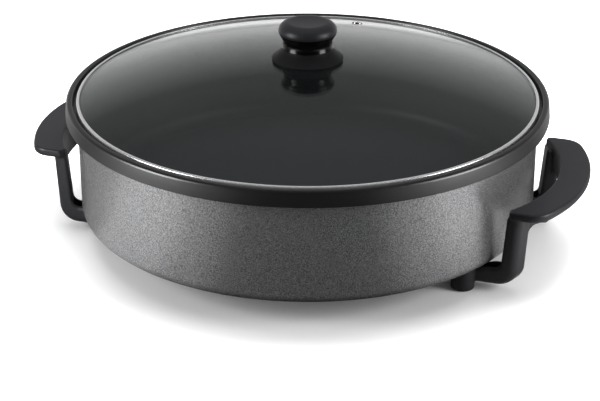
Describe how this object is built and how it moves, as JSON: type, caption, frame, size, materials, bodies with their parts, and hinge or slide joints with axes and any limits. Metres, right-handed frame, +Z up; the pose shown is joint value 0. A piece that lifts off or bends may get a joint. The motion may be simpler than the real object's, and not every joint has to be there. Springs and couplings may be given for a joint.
{
  "type": "electric skillet",
  "caption": "Round electric skillet: a coated die-cast pan on moulded handles whose legs end in feet, a ring heating element underneath, and a lift-off domed glass lid with a knob.",
  "frame": {"origin": "middle of the bounding box's base, on the table under the middle of the pan", "axes": "+X along the two handles, away from the power inlet, +Z up"},
  "size_m": [0.4972, 0.42, 0.1896],
  "materials": {
    "coated_casting": "die casting with a grey hammered non-stick coating and a smooth black rim",
    "bare_aluminium": "as cast",
    "element_sheath": "dull oxidised sheath",
    "plated_steel": "zinc plated",
    "polished_steel": "polished sheet",
    "insulator_ceramic": "unglazed white",
    "earth_brass": "plain",
    "moulded_black": "satin moulded thermoset",
    "glossy_black": "polished moulded thermoset",
    "spacer_board": "heat resistant board",
    "clear_glass": "clear toughened glass",
    "soft_gasket": "silicone"
  },
  "bodies": {
    "base": {"pan": "coated_casting", "element_channel": "bare_aluminium", "heating_element": "element_sheath", "terminal_pins": "plated_steel", "terminal_insulators": "insulator_ceramic", "earth_strips": "earth_brass", "probe_sleeve": "bare_aluminium", "inlet_shroud": "moulded_black", "inlet_screws": "plated_steel", "handle_right": "moulded_black", "handle_left": "moulded_black", "handle_screws": "plated_steel", "handle_washers": "plated_steel", "heat_spacers": "spacer_board"},
    "lid": {"lid_glass": "clear_glass", "lid_band": "polished_steel", "vent_eyelet": "polished_steel", "knob_skirt": "moulded_black", "knob_cap": "glossy_black", "knob_insert": "earth_brass", "knob_gasket": "soft_gasket", "under_gasket": "soft_gasket", "knob_washer": "plated_steel", "knob_screw": "plated_steel"}
  },
  "joints": [
    {"name": "lid_lift", "type": "slide", "parent": "base", "child": "lid", "axis": [0, 0, 1], "range_m": [0, 0.16]}
  ]
}
